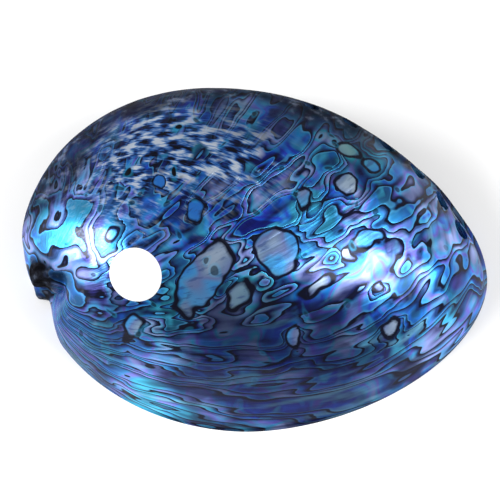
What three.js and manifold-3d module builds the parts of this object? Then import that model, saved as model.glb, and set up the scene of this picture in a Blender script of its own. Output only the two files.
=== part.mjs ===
// Polished abalone shell (paua), lying mouth down on its lip, with a round paper label.
// Millimetres, +Z up. +X points to the young, pointed end of the lip, -X to the spire,
// +Y to the flank that carries the row of breathing holes.
import * as THREE from 'three';
import { mergeVertices } from 'three/addons/utils/BufferGeometryUtils.js';
import Module from 'manifold-3d';

// ---- Driving sizes ----
const LENGTH = 139;              // lip end to spire end, along X
const WIDTH = 103;               // across the mouth, along Y
const HEIGHT = 43;               // lip to crown, along Z
const WALL = 2.8;                // shell wall
const LEDGE = 9;                 // flat inner ledge along the near lip, beyond the wall
const LEDGE_CLIMB = 0.16;        // share of the climb over which the ledge fades away
const LEDGE_LEAD = THREE.MathUtils.degToRad(20);  // how far the ledge is turned toward the spire
const LEDGE_FOCUS = 1.5;         // how closely the ledge keeps to the near side
const HOLE_COUNT = 6;
const HOLE_LENGTH = 6.8;         // youngest hole, along the row
const HOLE_SHRINK = 0.94;        // each older hole against the one before it
const HOLE_ASPECT = 0.78;        // hole width over length
const LABEL_DIAMETER = 15.4;
const LABEL_THICKNESS = 0.5;
const GAP = 0.3;                 // kept between the label and the shell

// ---- The lip's outline: an egg that is blunt at the spire ----
const HALF_LENGTH = LENGTH * 0.491;
const HALF_WIDTH = WIDTH * 0.495;
const OUTLINE_POWER = 1.88;
const TAPER = -0.1;
const CROWN_X = -22.6;           // the highest point of the dome
const CROWN_Y = -4.8;

// How the dome rises over each side: HEIGHT * (1 - reach^power)^steep, where reach falls from 1 at
// the lip to 0 at the crown, and power eases from round at the lip to 2 at the crown.
const SIDES = {
  tip: { round: 2.09, steep: 0.76 },
  far: { round: 3.3, steep: 0.42 },
  spire: { round: 1.95, steep: 0.46 },
  near: { round: 1.97, steep: 1.1 },
};
const BULGE = 0.11;              // how far the body whorl overhangs the lip
const BULGE_TURN = THREE.MathUtils.degToRad(165);

// ---- The spire: a low spiral of its own, sunk in the blunt end ----
const SPIRE_TURN = THREE.MathUtils.degToRad(197);
const SPIRE_CLIMB = 0.33;
const SPIRE_RADIUS = 10;         // suture's distance from the spire's tip where it leaves it
const SPIRE_DECAY = 0.3;         // shrink of that distance per radian
const SPIRE_START = THREE.MathUtils.degToRad(-70);
const SUTURE_DEPTH = 0.2;        // groove depth over its radius
const SUTURE_INNER = 0.16;       // steep half width toward the spire, over its radius
const SUTURE_OUTER = 0.42;       // easy half width toward the body whorl, over its radius
const SUTURE_RISE = [-1.5, -0.6]; // radians past its start over which the groove deepens
const KNOB_HEIGHT = 2.2;         // the worn knob at the spire's tip
const KNOB_LENGTH = 5.4;         // half length around the dome
const KNOB_WIDTH = 4.2;          // half width up the dome
const KNOB_EDGE = [0.5, 1.15];   // its shoulder, as shares of those

// ---- The notch under the spire, where the last whorl runs down to the lip ----
const NOTCH_DEPTH = 3.3;
const NOTCH_START = [197.3, 199.8].map(THREE.MathUtils.degToRad);
const NOTCH_END = [201, 214].map(THREE.MathUtils.degToRad);
const NOTCH_TOP = [0.35, 0.62];  // climbs over which it fades away

// ---- The row of holes, from the lip back toward the spire, on a low keel over a furrow ----
const ROW_START = THREE.MathUtils.degToRad(19.5);
const ROW_STEP = THREE.MathUtils.degToRad(11);
const ROW_CLIMB = 0.205;
const ROW_RISE = 0.023;          // climb per hole
const ROW_FADE_IN = [-0.7, 0.1]; // radians past its start over which the keel rises
const ROW_FADE_OUT = [1.2, 2.4]; // and dies away
const KEEL_HEIGHT = 0.7;
const KEEL_WIDTH = 0.09;         // in climb
const FURROW_DEPTH = 1.1;
const FURROW_DROP = 0.15;        // how far under the row the furrow runs, in climb

const LABEL_TURN = THREE.MathUtils.degToRad(220.6);
const LABEL_CLIMB = 0.74;

// ---- Mesh fineness ----
const TURN_SEGMENTS = 88;
const CLIMB_SEGMENTS = 30;       // half above the lip, half below it before the cut
const INNER_TURN_SEGMENTS = 60;
const INNER_CLIMB_SEGMENTS = 24;
const HOLE_SEGMENTS = 14;
const LABEL_SEGMENTS = 40;
const SKIRT = 12;                // how far the uncut solids hang under the lip
const CUTTER_WALLS = 5;          // length of the hole cutters, in walls
const SURFACE_STEP = 1e-3;       // for the surface's slopes

const wasm = await Module();
wasm.setup();

const crown = new THREE.Vector2(CROWN_X, CROWN_Y);

/** A power that keeps the sign of its base. */
function signedPower(base, power) {
  return Math.sign(base) * Math.abs(base) ** power;
}

/** The lip's outline at a turn about the dome. */
function lipPoint(turn) {
  const along = signedPower(Math.cos(turn), 2 / OUTLINE_POWER);
  const across = signedPower(Math.sin(turn), 2 / OUTLINE_POWER);
  return new THREE.Vector2(HALF_LENGTH * along, HALF_WIDTH * across * (1 + TAPER * along));
}

/** A profile value blended between the four sides. */
function sideValue(turn, key) {
  const along = Math.cos(turn);
  const across = Math.sin(turn);
  return (
    SIDES.tip[key] * Math.max(along, 0) ** 2 +
    SIDES.spire[key] * Math.min(along, 0) ** 2 +
    SIDES.far[key] * Math.max(across, 0) ** 2 +
    SIDES.near[key] * Math.min(across, 0) ** 2
  );
}

/** The smooth dome: turn about the crown, climb from 0 at the lip to 1 at the crown. */
function domePoint(turn, climb) {
  const reach = Math.cos((climb * Math.PI) / 2);
  const power = 2 + (sideValue(turn, 'round') - 2) * reach;
  const rise = (1 - reach ** power) ** sideValue(turn, 'steep');
  const overhang = Math.max(0, Math.cos(turn - BULGE_TURN)) ** 2 * 4 * rise * (1 - rise);
  const plan = lipPoint(turn).sub(crown).multiplyScalar(reach * (1 + BULGE * overhang)).add(crown);
  return new THREE.Vector3(plan.x, plan.y, HEIGHT * rise);
}

/** The dome's outward normal. */
function domeNormal(turn, climb) {
  const low = Math.max(climb - SURFACE_STEP, 0);
  const high = Math.min(climb + SURFACE_STEP, 1 - SURFACE_STEP);
  if (low >= high) return new THREE.Vector3(0, 0, 1);
  const around = domePoint(turn + SURFACE_STEP, climb).sub(domePoint(turn - SURFACE_STEP, climb));
  const up = domePoint(turn, high).sub(domePoint(turn, low));
  return around.cross(up).normalize();
}

/** An orthonormal frame on the dome: x around it, y up it, z out of it. */
function domeFrame(turn, climb) {
  const normal = domeNormal(turn, climb);
  const around = new THREE.Vector3(-Math.sin(turn), Math.cos(turn), 0);
  around.addScaledVector(normal, -around.dot(normal)).normalize();
  const up = new THREE.Vector3().crossVectors(normal, around);
  return new THREE.Matrix4().makeBasis(around, up, normal).setPosition(domePoint(turn, climb));
}

const spireFrame = domeFrame(SPIRE_TURN, SPIRE_CLIMB);
const spireFrameInverse = spireFrame.clone().invert();

/** How far the spire's knob and suture lift or sink a point of the dome. */
function spireRelief(point) {
  const local = point.clone().applyMatrix4(spireFrameInverse);
  const radius = Math.hypot(local.x, local.y) + 1e-6;
  const turn = Math.atan2(local.y, local.x) - SPIRE_START;
  const knob = Math.hypot(local.x / KNOB_LENGTH, local.y / KNOB_WIDTH);
  let relief = KNOB_HEIGHT * (1 - THREE.MathUtils.smoothstep(knob, ...KNOB_EDGE));
  for (let whorl = -1; whorl < 3; whorl += 1) {
    const wound = turn + whorl * 2 * Math.PI;
    const suture = SPIRE_RADIUS * Math.exp(-SPIRE_DECAY * wound);
    const fadeIn = THREE.MathUtils.smoothstep(wound, ...SUTURE_RISE);
    const width = radius < suture ? SUTURE_INNER : SUTURE_OUTER;
    const distance = (radius - suture) / (width * suture);
    relief -= fadeIn * SUTURE_DEPTH * suture * Math.exp(-(distance ** 2));
  }
  return relief;
}

/** How far the keel under the holes and the furrow below it lift or sink the dome. */
function rowRelief(turn, climb) {
  const past = THREE.MathUtils.euclideanModulo(turn + 1, 2 * Math.PI) - 1 - ROW_START;
  const row = ROW_CLIMB + (ROW_RISE / ROW_STEP) * past;
  const fade = THREE.MathUtils.smoothstep(past, ...ROW_FADE_IN) * (1 - THREE.MathUtils.smoothstep(past, ...ROW_FADE_OUT));
  const keel = KEEL_HEIGHT * Math.exp(-(((climb - row) / KEEL_WIDTH) ** 2));
  const furrow = FURROW_DEPTH * Math.exp(-(((climb - row + FURROW_DROP) / KEEL_WIDTH) ** 2));
  return fade * (keel - furrow);
}

/** How far the flank drops in below the spire. */
function notchDrop(turn, climb) {
  const around = THREE.MathUtils.euclideanModulo(turn, 2 * Math.PI);
  const { smoothstep } = THREE.MathUtils;
  const share = smoothstep(around, ...NOTCH_START) * (1 - smoothstep(around, ...NOTCH_END));
  return NOTCH_DEPTH * share * (1 - smoothstep(climb, ...NOTCH_TOP));
}

/** A point of the outer surface. */
function outerPoint(turn, climb) {
  const point = domePoint(turn, climb);
  const notch = notchDrop(turn, climb);
  const relief = climb > 0 ? spireRelief(point) + rowRelief(turn, climb) : 0;
  return point.addScaledVector(domeNormal(turn, climb), relief - notch);
}

/** A point of the inner surface, with the ledge along the near lip. */
function innerPoint(turn, climb) {
  const depth = WALL + notchDrop(turn, climb);
  const point = domePoint(turn, climb).addScaledVector(domeNormal(turn, climb), -depth);
  const plan = new THREE.Vector2(point.x, point.y).sub(crown);
  const facing = Math.max(0, Math.sin(turn - Math.PI + LEDGE_LEAD)) ** LEDGE_FOCUS;
  const share = facing * Math.exp(-((climb / LEDGE_CLIMB) ** 2));
  plan.multiplyScalar(1 - (LEDGE * share) / plan.length()).add(crown);
  return new THREE.Vector3(plan.x, plan.y, point.z);
}

/** A closed solid from a geometry, its shared vertices merged. */
function toSolid(geometry) {
  const bare = geometry.clone();
  bare.deleteAttribute('normal');
  bare.deleteAttribute('uv');
  const merged = mergeVertices(bare, 1e-4);
  return new wasm.Manifold(
    new wasm.Mesh({
      numProp: 3,
      vertProperties: new Float32Array(merged.attributes.position.array),
      triVerts: new Uint32Array(merged.index.array),
    }),
  );
}

/** A flat-shaded geometry from a solid. */
function toGeometry(solid) {
  const mesh = solid.getMesh();
  const geometry = new THREE.BufferGeometry();
  geometry.setAttribute('position', new THREE.BufferAttribute(mesh.vertProperties, mesh.numProp));
  geometry.setIndex(new THREE.BufferAttribute(mesh.triVerts, 1));
  const flat = geometry.toNonIndexed();
  flat.computeVertexNormals();
  return flat;
}

/** A sphere whose upper half is laid on a surface and whose lower half hangs under its lip. */
function domeSolid(surfacePoint, turnSegments, climbSegments) {
  const sphere = new THREE.SphereGeometry(1, turnSegments, climbSegments).rotateX(Math.PI / 2);
  const position = sphere.attributes.position;
  const direction = new THREE.Vector3();
  for (let index = 0; index < position.count; index += 1) {
    direction.fromBufferAttribute(position, index);
    const turn = Math.atan2(direction.y, direction.x);
    const climb = Math.asin(THREE.MathUtils.clamp(direction.z, -1, 1)) / (Math.PI / 2);
    const point = surfacePoint(turn, Math.max(climb, 0));
    if (climb < -1e-6) {
      const reach = Math.cos((climb * Math.PI) / 2);
      point.set(CROWN_X + (point.x - CROWN_X) * reach, CROWN_Y + (point.y - CROWN_Y) * reach, point.z + SKIRT * climb);
    }
    position.setXYZ(index, point.x, point.y, point.z);
  }
  return toSolid(sphere);
}

/** The six oval cutters of the breathing holes. */
function holeCutters() {
  return Array.from({ length: HOLE_COUNT }, (_, index) => {
    const length = HOLE_LENGTH * HOLE_SHRINK ** index;
    const cutter = new THREE.CylinderGeometry(length / 2, length / 2, CUTTER_WALLS * WALL, HOLE_SEGMENTS).rotateX(Math.PI / 2);
    cutter.scale(1, HOLE_ASPECT, 1);
    cutter.applyMatrix4(domeFrame(ROW_START + ROW_STEP * index, ROW_CLIMB + ROW_RISE * index));
    return toSolid(cutter);
  });
}

/** The shell: dome less its hollow and holes, cut flat where it stands. */
function buildShell() {
  let solid = domeSolid(outerPoint, TURN_SEGMENTS, CLIMB_SEGMENTS);
  solid = solid.subtract(domeSolid(innerPoint, INNER_TURN_SEGMENTS, INNER_CLIMB_SEGMENTS));
  holeCutters().forEach((cutter) => {
    solid = solid.subtract(cutter);
  });
  const below = new THREE.BoxGeometry(2 * LENGTH, 2 * WIDTH, HEIGHT).translate(0, 0, -HEIGHT / 2);
  return toGeometry(solid.subtract(toSolid(below)));
}

/** The label: a thin disc dropped onto the shell, a gap clear of it. */
function buildLabel(shellMesh) {
  const radius = LABEL_DIAMETER / 2;
  const rings = [0, 1 / 3, 2 / 3, 1].map((share) => share * radius);
  const under = rings.map((ring) => new THREE.Vector2(ring, GAP));
  const over = rings.toReversed().map((ring) => new THREE.Vector2(ring, GAP + LABEL_THICKNESS));
  const disc = new THREE.LatheGeometry([...under, ...over], LABEL_SEGMENTS).rotateX(Math.PI / 2);
  const frame = domeFrame(LABEL_TURN, LABEL_CLIMB);
  const normal = new THREE.Vector3().setFromMatrixColumn(frame, 2);
  const ray = new THREE.Raycaster();
  const position = disc.attributes.position;
  const point = new THREE.Vector3();
  for (let index = 0; index < position.count; index += 1) {
    point.fromBufferAttribute(position, index);
    const lift = point.z;
    point.setZ(LABEL_DIAMETER).applyMatrix4(frame);
    ray.set(point, normal.clone().negate());
    const landing = ray.intersectObject(shellMesh)[0].point;
    landing.addScaledVector(normal, lift);
    position.setXYZ(index, landing.x, landing.y, landing.z);
  }
  return toGeometry(toSolid(disc));
}

const nacre = new THREE.MeshStandardMaterial({ color: 0x3f7fc4, roughness: 0.25, metalness: 0.2 });
const paper = new THREE.MeshStandardMaterial({ color: 0xf4f5f7, roughness: 0.7, metalness: 0 });

const shell = new THREE.Mesh(buildShell(), nacre);
shell.name = 'shell';
const label = new THREE.Mesh(buildLabel(shell), paper);
label.name = 'sticker';

// The origin is under the middle of the whole part, on the surface it stands on.
const part = new THREE.Group();
part.add(shell, label);
const middle = new THREE.Box3().setFromObject(part).getCenter(new THREE.Vector3());
part.position.set(-middle.x, -middle.y, 0);

export default part;
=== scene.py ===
"""Polished abalone (paua) shell, lying mouth down, with a blank round paper label."""
import logging
import math
from dataclasses import dataclass, field
from enum import Enum

import bmesh
import bpy
import numpy as np
from mathutils import Matrix, Vector, noise
from mathutils.bvhtree import BVHTree


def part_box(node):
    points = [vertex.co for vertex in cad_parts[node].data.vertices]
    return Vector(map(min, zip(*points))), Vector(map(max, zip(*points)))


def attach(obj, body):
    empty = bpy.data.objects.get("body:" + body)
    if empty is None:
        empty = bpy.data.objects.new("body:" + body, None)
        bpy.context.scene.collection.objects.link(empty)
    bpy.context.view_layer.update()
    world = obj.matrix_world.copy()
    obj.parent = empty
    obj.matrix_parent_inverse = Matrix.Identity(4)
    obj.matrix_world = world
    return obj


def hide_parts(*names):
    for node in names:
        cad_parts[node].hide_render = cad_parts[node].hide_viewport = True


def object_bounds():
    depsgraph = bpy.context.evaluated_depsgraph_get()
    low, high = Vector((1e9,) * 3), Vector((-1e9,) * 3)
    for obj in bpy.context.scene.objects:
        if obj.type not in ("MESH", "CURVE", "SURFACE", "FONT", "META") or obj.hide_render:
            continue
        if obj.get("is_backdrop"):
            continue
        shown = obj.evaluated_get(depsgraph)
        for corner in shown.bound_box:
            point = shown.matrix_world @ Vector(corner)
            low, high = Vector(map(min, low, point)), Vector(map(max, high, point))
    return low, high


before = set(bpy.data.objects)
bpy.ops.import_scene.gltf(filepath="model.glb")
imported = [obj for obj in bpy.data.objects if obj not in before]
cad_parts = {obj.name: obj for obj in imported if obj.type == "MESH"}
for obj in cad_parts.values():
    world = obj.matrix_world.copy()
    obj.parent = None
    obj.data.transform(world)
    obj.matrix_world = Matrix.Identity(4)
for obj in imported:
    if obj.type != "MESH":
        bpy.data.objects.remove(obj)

Array = np.ndarray
Colour = tuple[float, float, float, float]
Link = bpy.types.Node | bpy.types.NodeSocket | float | tuple
Links = dict[str | int, Link]
Marks = dict[str, Link]
Shades = tuple[tuple[float, str], ...]
Stops = tuple[tuple[float, Colour], ...]

CAD_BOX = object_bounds()
MM = 0.001
BLACK = (0.0, 0.0, 0.0, 1.0)
GREY = (0.5, 0.5, 0.5, 1.0)
WHITE = (1.0, 1.0, 1.0, 1.0)
# The marks that each colour attribute of the shell carries in its three channels. The first channel of the
# second attribute is painted highlight, and the first channel of the third is painted shade.
MARK_PARTS = {
    "zones": ("band", "streak", "dull"),
    "tints_and_highlight": ("glow", "green", "silver"),
    "mixes": ("dusk", "calm", "plate"),
}
# How long and wide the finished shell comes out, as a share of its form's length and width.
LENGTH_SHARE = 0.9951
WIDTH_SHARE = 0.995
log = logging.getLogger("abalone")


def smoothstep(value: Array, low: float, high: float) -> Array:
    """Eases from 0 at low to 1 at high."""
    share = np.clip((value - low) / (high - low), 0.0, 1.0)
    return share * share * (3 - 2 * share)


def bell(value: Array, width: Array) -> Array:
    """A Gaussian bell of height 1 and the given half width."""
    return np.exp(-((value / width) ** 2))


def signed_power(base: Array, power: float) -> Array:
    """A power that keeps the sign of its base."""
    return np.sign(base) * np.abs(base) ** power


def row_lengths(rows: Array) -> Array:
    """The length of each row, kept as a column."""
    return np.sqrt((rows * rows).sum(axis=-1, keepdims=True))


# ---------------------------------------------------------------------------------------------
# Form: the surface that every piece lies on
# ---------------------------------------------------------------------------------------------


class Side(Enum):
    """The four flanks of the dome, by the direction that they face."""

    TIP = "tip"
    FAR = "far"
    SPIRE = "spire"
    NEAR = "near"


@dataclass(frozen=True)
class Profile:
    """How the dome climbs over one flank."""

    round: float
    steep: float
    spread: float


@dataclass(frozen=True)
class Spots:
    """Round soft spots in plan, each given as x, y, radius in millimetres and weight."""

    places: tuple[tuple[float, float, float, float], ...]

    def field(self, x: Array, y: Array) -> Array:
        """The spots' summed weight at each place."""
        total = np.zeros_like(x)
        for spot_x, spot_y, radius, weight in self.places:
            total = total + weight * bell(np.hypot(x - spot_x, y - spot_y), radius)
        return total


@dataclass(frozen=True)
class Plate:
    """One lone cell of the pattern, a rounded patch of a single layer, in millimetres and degrees."""

    x: float
    y: float
    length: float
    width: float
    lean: float
    squareness: float = 2.6

    def distance(self, x: Array, y: Array) -> Array:
        """Roughly how far each place is outside the patch, and less than 0 inside."""
        cos, sin = math.cos(math.radians(self.lean)), math.sin(math.radians(self.lean))
        along = ((x - self.x) * cos + (y - self.y) * sin) / (self.length / 2)
        across = ((y - self.y) * cos - (x - self.x) * sin) / (self.width / 2)
        power = self.squareness
        share = (np.abs(along) ** power + np.abs(across) ** power) ** (1 / power)
        return (share - 1) * self.width / 2


@dataclass(frozen=True)
class DomeForm:
    """The shell's outer and inner surfaces, in millimetres and degrees, the same shape as the frame's.

    A turn is a direction about the crown in radians; a climb is 0 at the lip and 1 at the crown.
    Both are arrays, and points come back as one row each.
    """

    length: float
    width: float
    height: float
    crown: tuple[float, float] = (-22.6, -4.8)
    outline_power: float = 1.88
    taper: float = -0.1
    bulge: float = 0.11
    bulge_turn: float = 165.0
    wall: float = 2.8
    ledge: float = 9.0
    ledge_climb: float = 0.16
    ledge_lead: float = 20.0
    spire_turn: float = 197.0
    spire_climb: float = 0.33
    spire_radius: float = 10.0
    spire_decay: float = 0.3
    spire_start: float = -70.0
    suture_depth: float = 0.26
    suture_inner: float = 0.16
    suture_outer: float = 0.42
    knob_height: float = 2.2
    knob_length: float = 5.4
    knob_width: float = 4.2
    notch_depth: float = 3.3
    notch_turns: tuple[float, float, float, float] = (197.3, 199.8, 201.0, 214.0)
    ridge_height: float = 0.32
    dents: Spots = Spots(((56, 17, 9, 1.3), (62, 6, 7, 0.6), (-57, 12, 9, 1.0), (-48, 24, 8, 0.5)))
    spiral_pitch: float = 56.0
    growth_radius: float = 70.0
    growth_core: float = 18.0
    growth_seam: float = -130.0
    walk_steps: int = 20
    row_start: float = 19.5
    row_step: float = 11.0
    row_climb: float = 0.205
    row_rise: float = 0.023
    keel_height: float = 0.7
    keel_width: float = 0.09
    furrow_depth: float = 1.1
    furrow_drop: float = 0.15
    profiles: dict[Side, Profile] = field(
        default_factory=lambda: {
            Side.TIP: Profile(2.09, 0.76, 0.62),
            Side.FAR: Profile(3.3, 0.42, 1.0),
            Side.SPIRE: Profile(1.95, 0.46, 1.0),
            Side.NEAR: Profile(1.97, 1.1, 0.5),
        }
    )

    def lip(self, turn: Array) -> Array:
        """The lip's outline in plan."""
        along = signed_power(np.cos(turn), 2 / self.outline_power)
        across = signed_power(np.sin(turn), 2 / self.outline_power)
        x = self.length * 0.491 * along
        y = self.width * 0.495 * across * (1 + self.taper * along)
        return np.stack([x, y], axis=-1)

    def blend(self, turn: Array, trait: str) -> Array:
        """A profile trait blended between the four flanks.

        Args:
            turn: directions about the crown.
            trait: the field of Profile.

        Returns:
            The trait at each turn.
        """
        value = {side: getattr(self.profiles[side], trait) for side in Side}
        along = np.cos(turn)
        across = np.sin(turn)
        end = np.where(along > 0, value[Side.TIP], value[Side.SPIRE])
        flank = np.where(across > 0, value[Side.FAR], value[Side.NEAR])
        return end * along**2 + flank * across**2

    def climb_at(self, turn: Array, way: Array) -> Array:
        """The climb at an even share of the way from the crown (0) to the lip (1)."""
        return np.maximum(1 - way, 0.0) ** self.blend(turn, "spread")

    def unrolled(self, turn: Array, climb: Array) -> Array:
        """The dome laid flat about the crown, each place as far off as the walk to it over the dome."""
        here = self.dome(turn, climb)
        heading = here[:, :2] - np.array(self.crown)
        heading = heading / np.maximum(row_lengths(heading), 1e-6)
        walked = np.zeros((len(here), 1))
        for share in np.linspace(0, 1, self.walk_steps)[1:]:
            further = self.dome(turn, climb + (1 - climb) * share)
            walked = walked + row_lengths(further - here)
            here = further
        return np.array(self.crown) + heading * walked

    def growth(self, turn: Array, climb: Array) -> tuple[Array, Array]:
        """Places along and across the logarithmic spiral that the shell grew by.

        Args:
            turn: directions about the crown.
            climb: climbs from the lip.

        Returns:
            The place across the spiral, which is along the growth lines, and the place along it. Both
            are in millimetres at growth_radius from the spire, and finer nearer to it.
        """
        spire = self.unrolled(np.array([math.radians(self.spire_turn)]), np.array([self.spire_climb]))
        apart = self.unrolled(turn, climb) - spire
        seam = math.radians(self.growth_seam)
        angle = (np.arctan2(apart[:, 1], apart[:, 0]) - seam) % (2 * math.pi) + seam
        size = np.log(np.hypot(apart[:, 0], apart[:, 1]) + self.growth_core)
        pitch = math.radians(self.spiral_pitch)
        across = self.growth_radius * (math.sin(pitch) * size + math.cos(pitch) * angle)
        along = self.growth_radius * (math.cos(pitch) * size - math.sin(pitch) * angle)
        return across, along

    def dome(self, turn: Array, climb: Array) -> Array:
        """Points of the smooth dome."""
        reach = np.cos(climb * math.pi / 2)
        power = 2 + (self.blend(turn, "round") - 2) * reach
        rise = np.maximum(1 - reach**power, 0.0) ** self.blend(turn, "steep")
        lean = np.maximum(0.0, np.cos(turn - math.radians(self.bulge_turn))) ** 2
        stretch = reach * (1 + self.bulge * lean * 4 * rise * (1 - rise))
        middle = np.array(self.crown)
        plan = middle + (self.lip(turn) - middle) * stretch[..., None]
        return np.concatenate([plan, (self.height * rise)[..., None]], axis=-1)

    def normal(self, turn: Array, climb: Array) -> Array:
        """The smooth dome's outward normals."""
        step = 1e-3
        low = np.clip(climb - step, 0.0, 1 - 3 * step)
        high = np.clip(climb + step, 2 * step, 1 - step)
        around = self.dome(turn + step, low) - self.dome(turn - step, low)
        rise = self.dome(turn, high) - self.dome(turn, low)
        normal = np.cross(around, rise)
        return normal / row_lengths(normal)

    def place(self, turn: float, climb: float) -> Matrix:
        """A frame on the dome: x around it, y up it, z out of it."""
        turn_row, climb_row = np.array([turn]), np.array([climb])
        normal = Vector(self.normal(turn_row, climb_row)[0])
        around = Vector((-math.sin(turn), math.cos(turn), 0))
        around = (around - normal * around.dot(normal)).normalized()
        matrix = Matrix((around, normal.cross(around), normal)).transposed().to_4x4()
        matrix.translation = Vector(self.dome(turn_row, climb_row)[0])
        return matrix

    def spire_place(self) -> Matrix:
        """The frame of the spire's tip."""
        return self.place(math.radians(self.spire_turn), self.spire_climb)

    def spire_relief(self, points: Array) -> Array:
        """The spire's knob and its spiral suture.

        Args:
            points: places on the smooth dome.

        Returns:
            How far each is lifted, or sunk where it is less than 0.
        """
        inverse = np.array(self.spire_place().inverted())
        local = points @ inverse[:3, :3].T + inverse[:3, 3]
        radius = np.hypot(local[:, 0], local[:, 1]) + 1e-6
        turn = np.arctan2(local[:, 1], local[:, 0]) - math.radians(self.spire_start)
        knob = np.hypot(local[:, 0] / self.knob_length, local[:, 1] / self.knob_width)
        relief = self.knob_height * (1 - smoothstep(knob, 0.5, 1.15))
        for whorl in range(-1, 3):
            wound = turn + whorl * 2 * math.pi
            suture = self.spire_radius * np.exp(-self.spire_decay * wound)
            width = np.where(radius < suture, self.suture_inner, self.suture_outer)
            depth = smoothstep(wound, -1.5, -0.6) * self.suture_depth * suture
            relief = relief - depth * bell(radius - suture, width * suture)
        return relief

    def row_relief(self, turn: Array, climb: Array) -> Array:
        """The low keel that carries the holes, and the furrow under it."""
        past = (turn + 1) % (2 * math.pi) - 1 - math.radians(self.row_start)
        row = self.row_climb + self.row_rise / math.radians(self.row_step) * past
        fade = smoothstep(past, -0.7, 0.1) * smoothstep(2.4 - past, 0, 1.2)
        keel = self.keel_height * bell(climb - row, self.keel_width)
        furrow = self.furrow_depth * bell(climb - row + self.furrow_drop, self.keel_width)
        return fade * (keel - furrow)

    def notch(self, turn: Array, climb: Array) -> Array:
        """How far the flank drops in below the spire, where the last whorl meets the lip."""
        start, full, easing, end = np.radians(self.notch_turns)
        turn = turn % (2 * math.pi)
        around = smoothstep(turn, start, full) * (1 - smoothstep(turn, easing, end))
        return self.notch_depth * around * (1 - smoothstep(climb, 0.35, 0.62))

    def ridges(self, turn: Array, climb: Array) -> Array:
        """The low growth ridges that polishing leaves, never proud of the dome."""
        across, along = self.growth(turn, climb)
        places = np.stack([across / 22, along / 5.5, 0 * across], axis=-1)
        fine = np.array([noise.noise(Vector(place)) for place in places])
        points = self.dome(turn, climb)
        broad = np.array([noise.noise(Vector(point) / 24 + Vector((3.1, 0.4, 7.7))) for point in points])
        calm = 0.35 + 0.65 * smoothstep(points[:, 0] - 0.5 * points[:, 1], -10, 35)
        return -self.ridge_height * (calm * (0.5 + 0.5 * fine) + 0.5 + 0.5 * broad)

    def outer(self, turn: Array, climb: Array) -> Array:
        """Points of the outer surface."""
        points = self.dome(turn, climb)
        relief = self.row_relief(turn, climb) + self.spire_relief(points)
        relief = smoothstep(climb, 0, 0.04) * relief + smoothstep(climb, 0, 0.08) * self.ridges(turn, climb)
        dents = self.dents.field(points[:, 0], points[:, 1])
        points = points + self.normal(turn, climb) * (relief - dents - self.notch(turn, climb))[:, None]
        return np.concatenate([points[:, :2], np.maximum(points[:, 2:], 0.0)], axis=-1)

    def inner(self, turn: Array, climb: Array) -> Array:
        """Points of the inner surface, with the flat ledge along the near lip."""
        normal = self.normal(turn, climb)
        points = self.dome(turn, climb)
        dents = self.dents.field(points[:, 0], points[:, 1])
        points = points - normal * (self.wall + dents + self.notch(turn, climb))[:, None]
        middle = np.array(self.crown)
        plan = points[:, :2] - middle
        facing = np.maximum(0.0, np.sin(turn - math.pi + math.radians(self.ledge_lead))) ** 1.5
        share = facing * bell(climb, self.ledge_climb)
        plan = middle + plan * (1 - self.ledge * share[:, None] / np.maximum(row_lengths(plan), 1.0))
        lift = self.wall * np.maximum(normal[:, 2], 0.0) * bell(climb, 0.1)
        return np.concatenate([plan, np.maximum(points[:, 2] + lift, 0.0)[:, None]], axis=-1)


# ---------------------------------------------------------------------------------------------
# Shader helpers
# ---------------------------------------------------------------------------------------------


def srgb(code: str, alpha: float = 1.0) -> Colour:
    """A linear colour from an sRGB hex value.

    Args:
        code: six hex digits, with or without a leading #.
        alpha: the fourth channel.

    Returns:
        Linear red, green, blue and alpha.
    """
    values = [int(code.lstrip("#")[place : place + 2], 16) / 255 for place in (0, 2, 4)]
    channels = [v / 12.92 if v <= 0.04045 else ((v + 0.055) / 1.055) ** 2.4 for v in values]
    return (*channels, alpha)


def linear(shades: Shades) -> Stops:
    """A ramp's stops with their sRGB colours made linear."""
    return tuple((place, srgb(code)) for place, code in shades)


class Graph:
    """A material's node tree, with one way to add a node."""

    def __init__(self, name: str) -> None:
        """Starts an empty tree in a new material."""
        self.material = bpy.data.materials.new(name)
        self.material.use_nodes = True
        self.tree = self.material.node_tree
        self.tree.nodes.clear()

    def add(
        self, kind: str, links: Links | None = None, stops: Stops = (), **settings: object
    ) -> bpy.types.Node:
        """Adds a node.

        Args:
            kind: the node's type name, without the ShaderNode prefix.
            links: input name or index to a socket, to a node, whose first output in use is then taken, or
                to a constant.
            stops: the position and linear colour of each stop of a colour ramp.
            settings: the node's own properties.

        Returns:
            The new node.
        """
        node = self.tree.nodes.new("ShaderNode" + kind)
        for key, value in settings.items():
            setattr(node, key, value)
        for index, (position, colour) in enumerate(stops):
            elements = node.color_ramp.elements
            element = elements[index] if index < len(elements) else elements.new(position)
            element.position = position
            element.color = colour
        for key, value in (links or {}).items():
            if isinstance(value, bpy.types.Node):
                value = next(output for output in value.outputs if output.enabled)
            if isinstance(value, bpy.types.NodeSocket):
                self.tree.links.new(value, node.inputs[key])
            else:
                node.inputs[key].default_value = value
        return node


def finish_piece(name: str, bm: bmesh.types.BMesh, material: bpy.types.Material) -> bpy.types.Object:
    """Makes an object of a millimetre bmesh, in metres, at the origin.

    Args:
        name: the piece's name.
        bm: the mesh, which is freed.
        material: its finish.

    Returns:
        The object, linked to the scene.
    """
    bmesh.ops.scale(bm, vec=Vector((MM, MM, MM)), verts=bm.verts[:])
    for face in bm.faces:
        face.smooth = True
    mesh = bpy.data.meshes.new(name)
    bm.to_mesh(mesh)
    bm.free()
    mesh.materials.append(material)
    piece = bpy.data.objects.new(name, mesh)
    bpy.context.scene.collection.objects.link(piece)
    return piece


# ---------------------------------------------------------------------------------------------
# Finishes
# ---------------------------------------------------------------------------------------------


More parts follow.
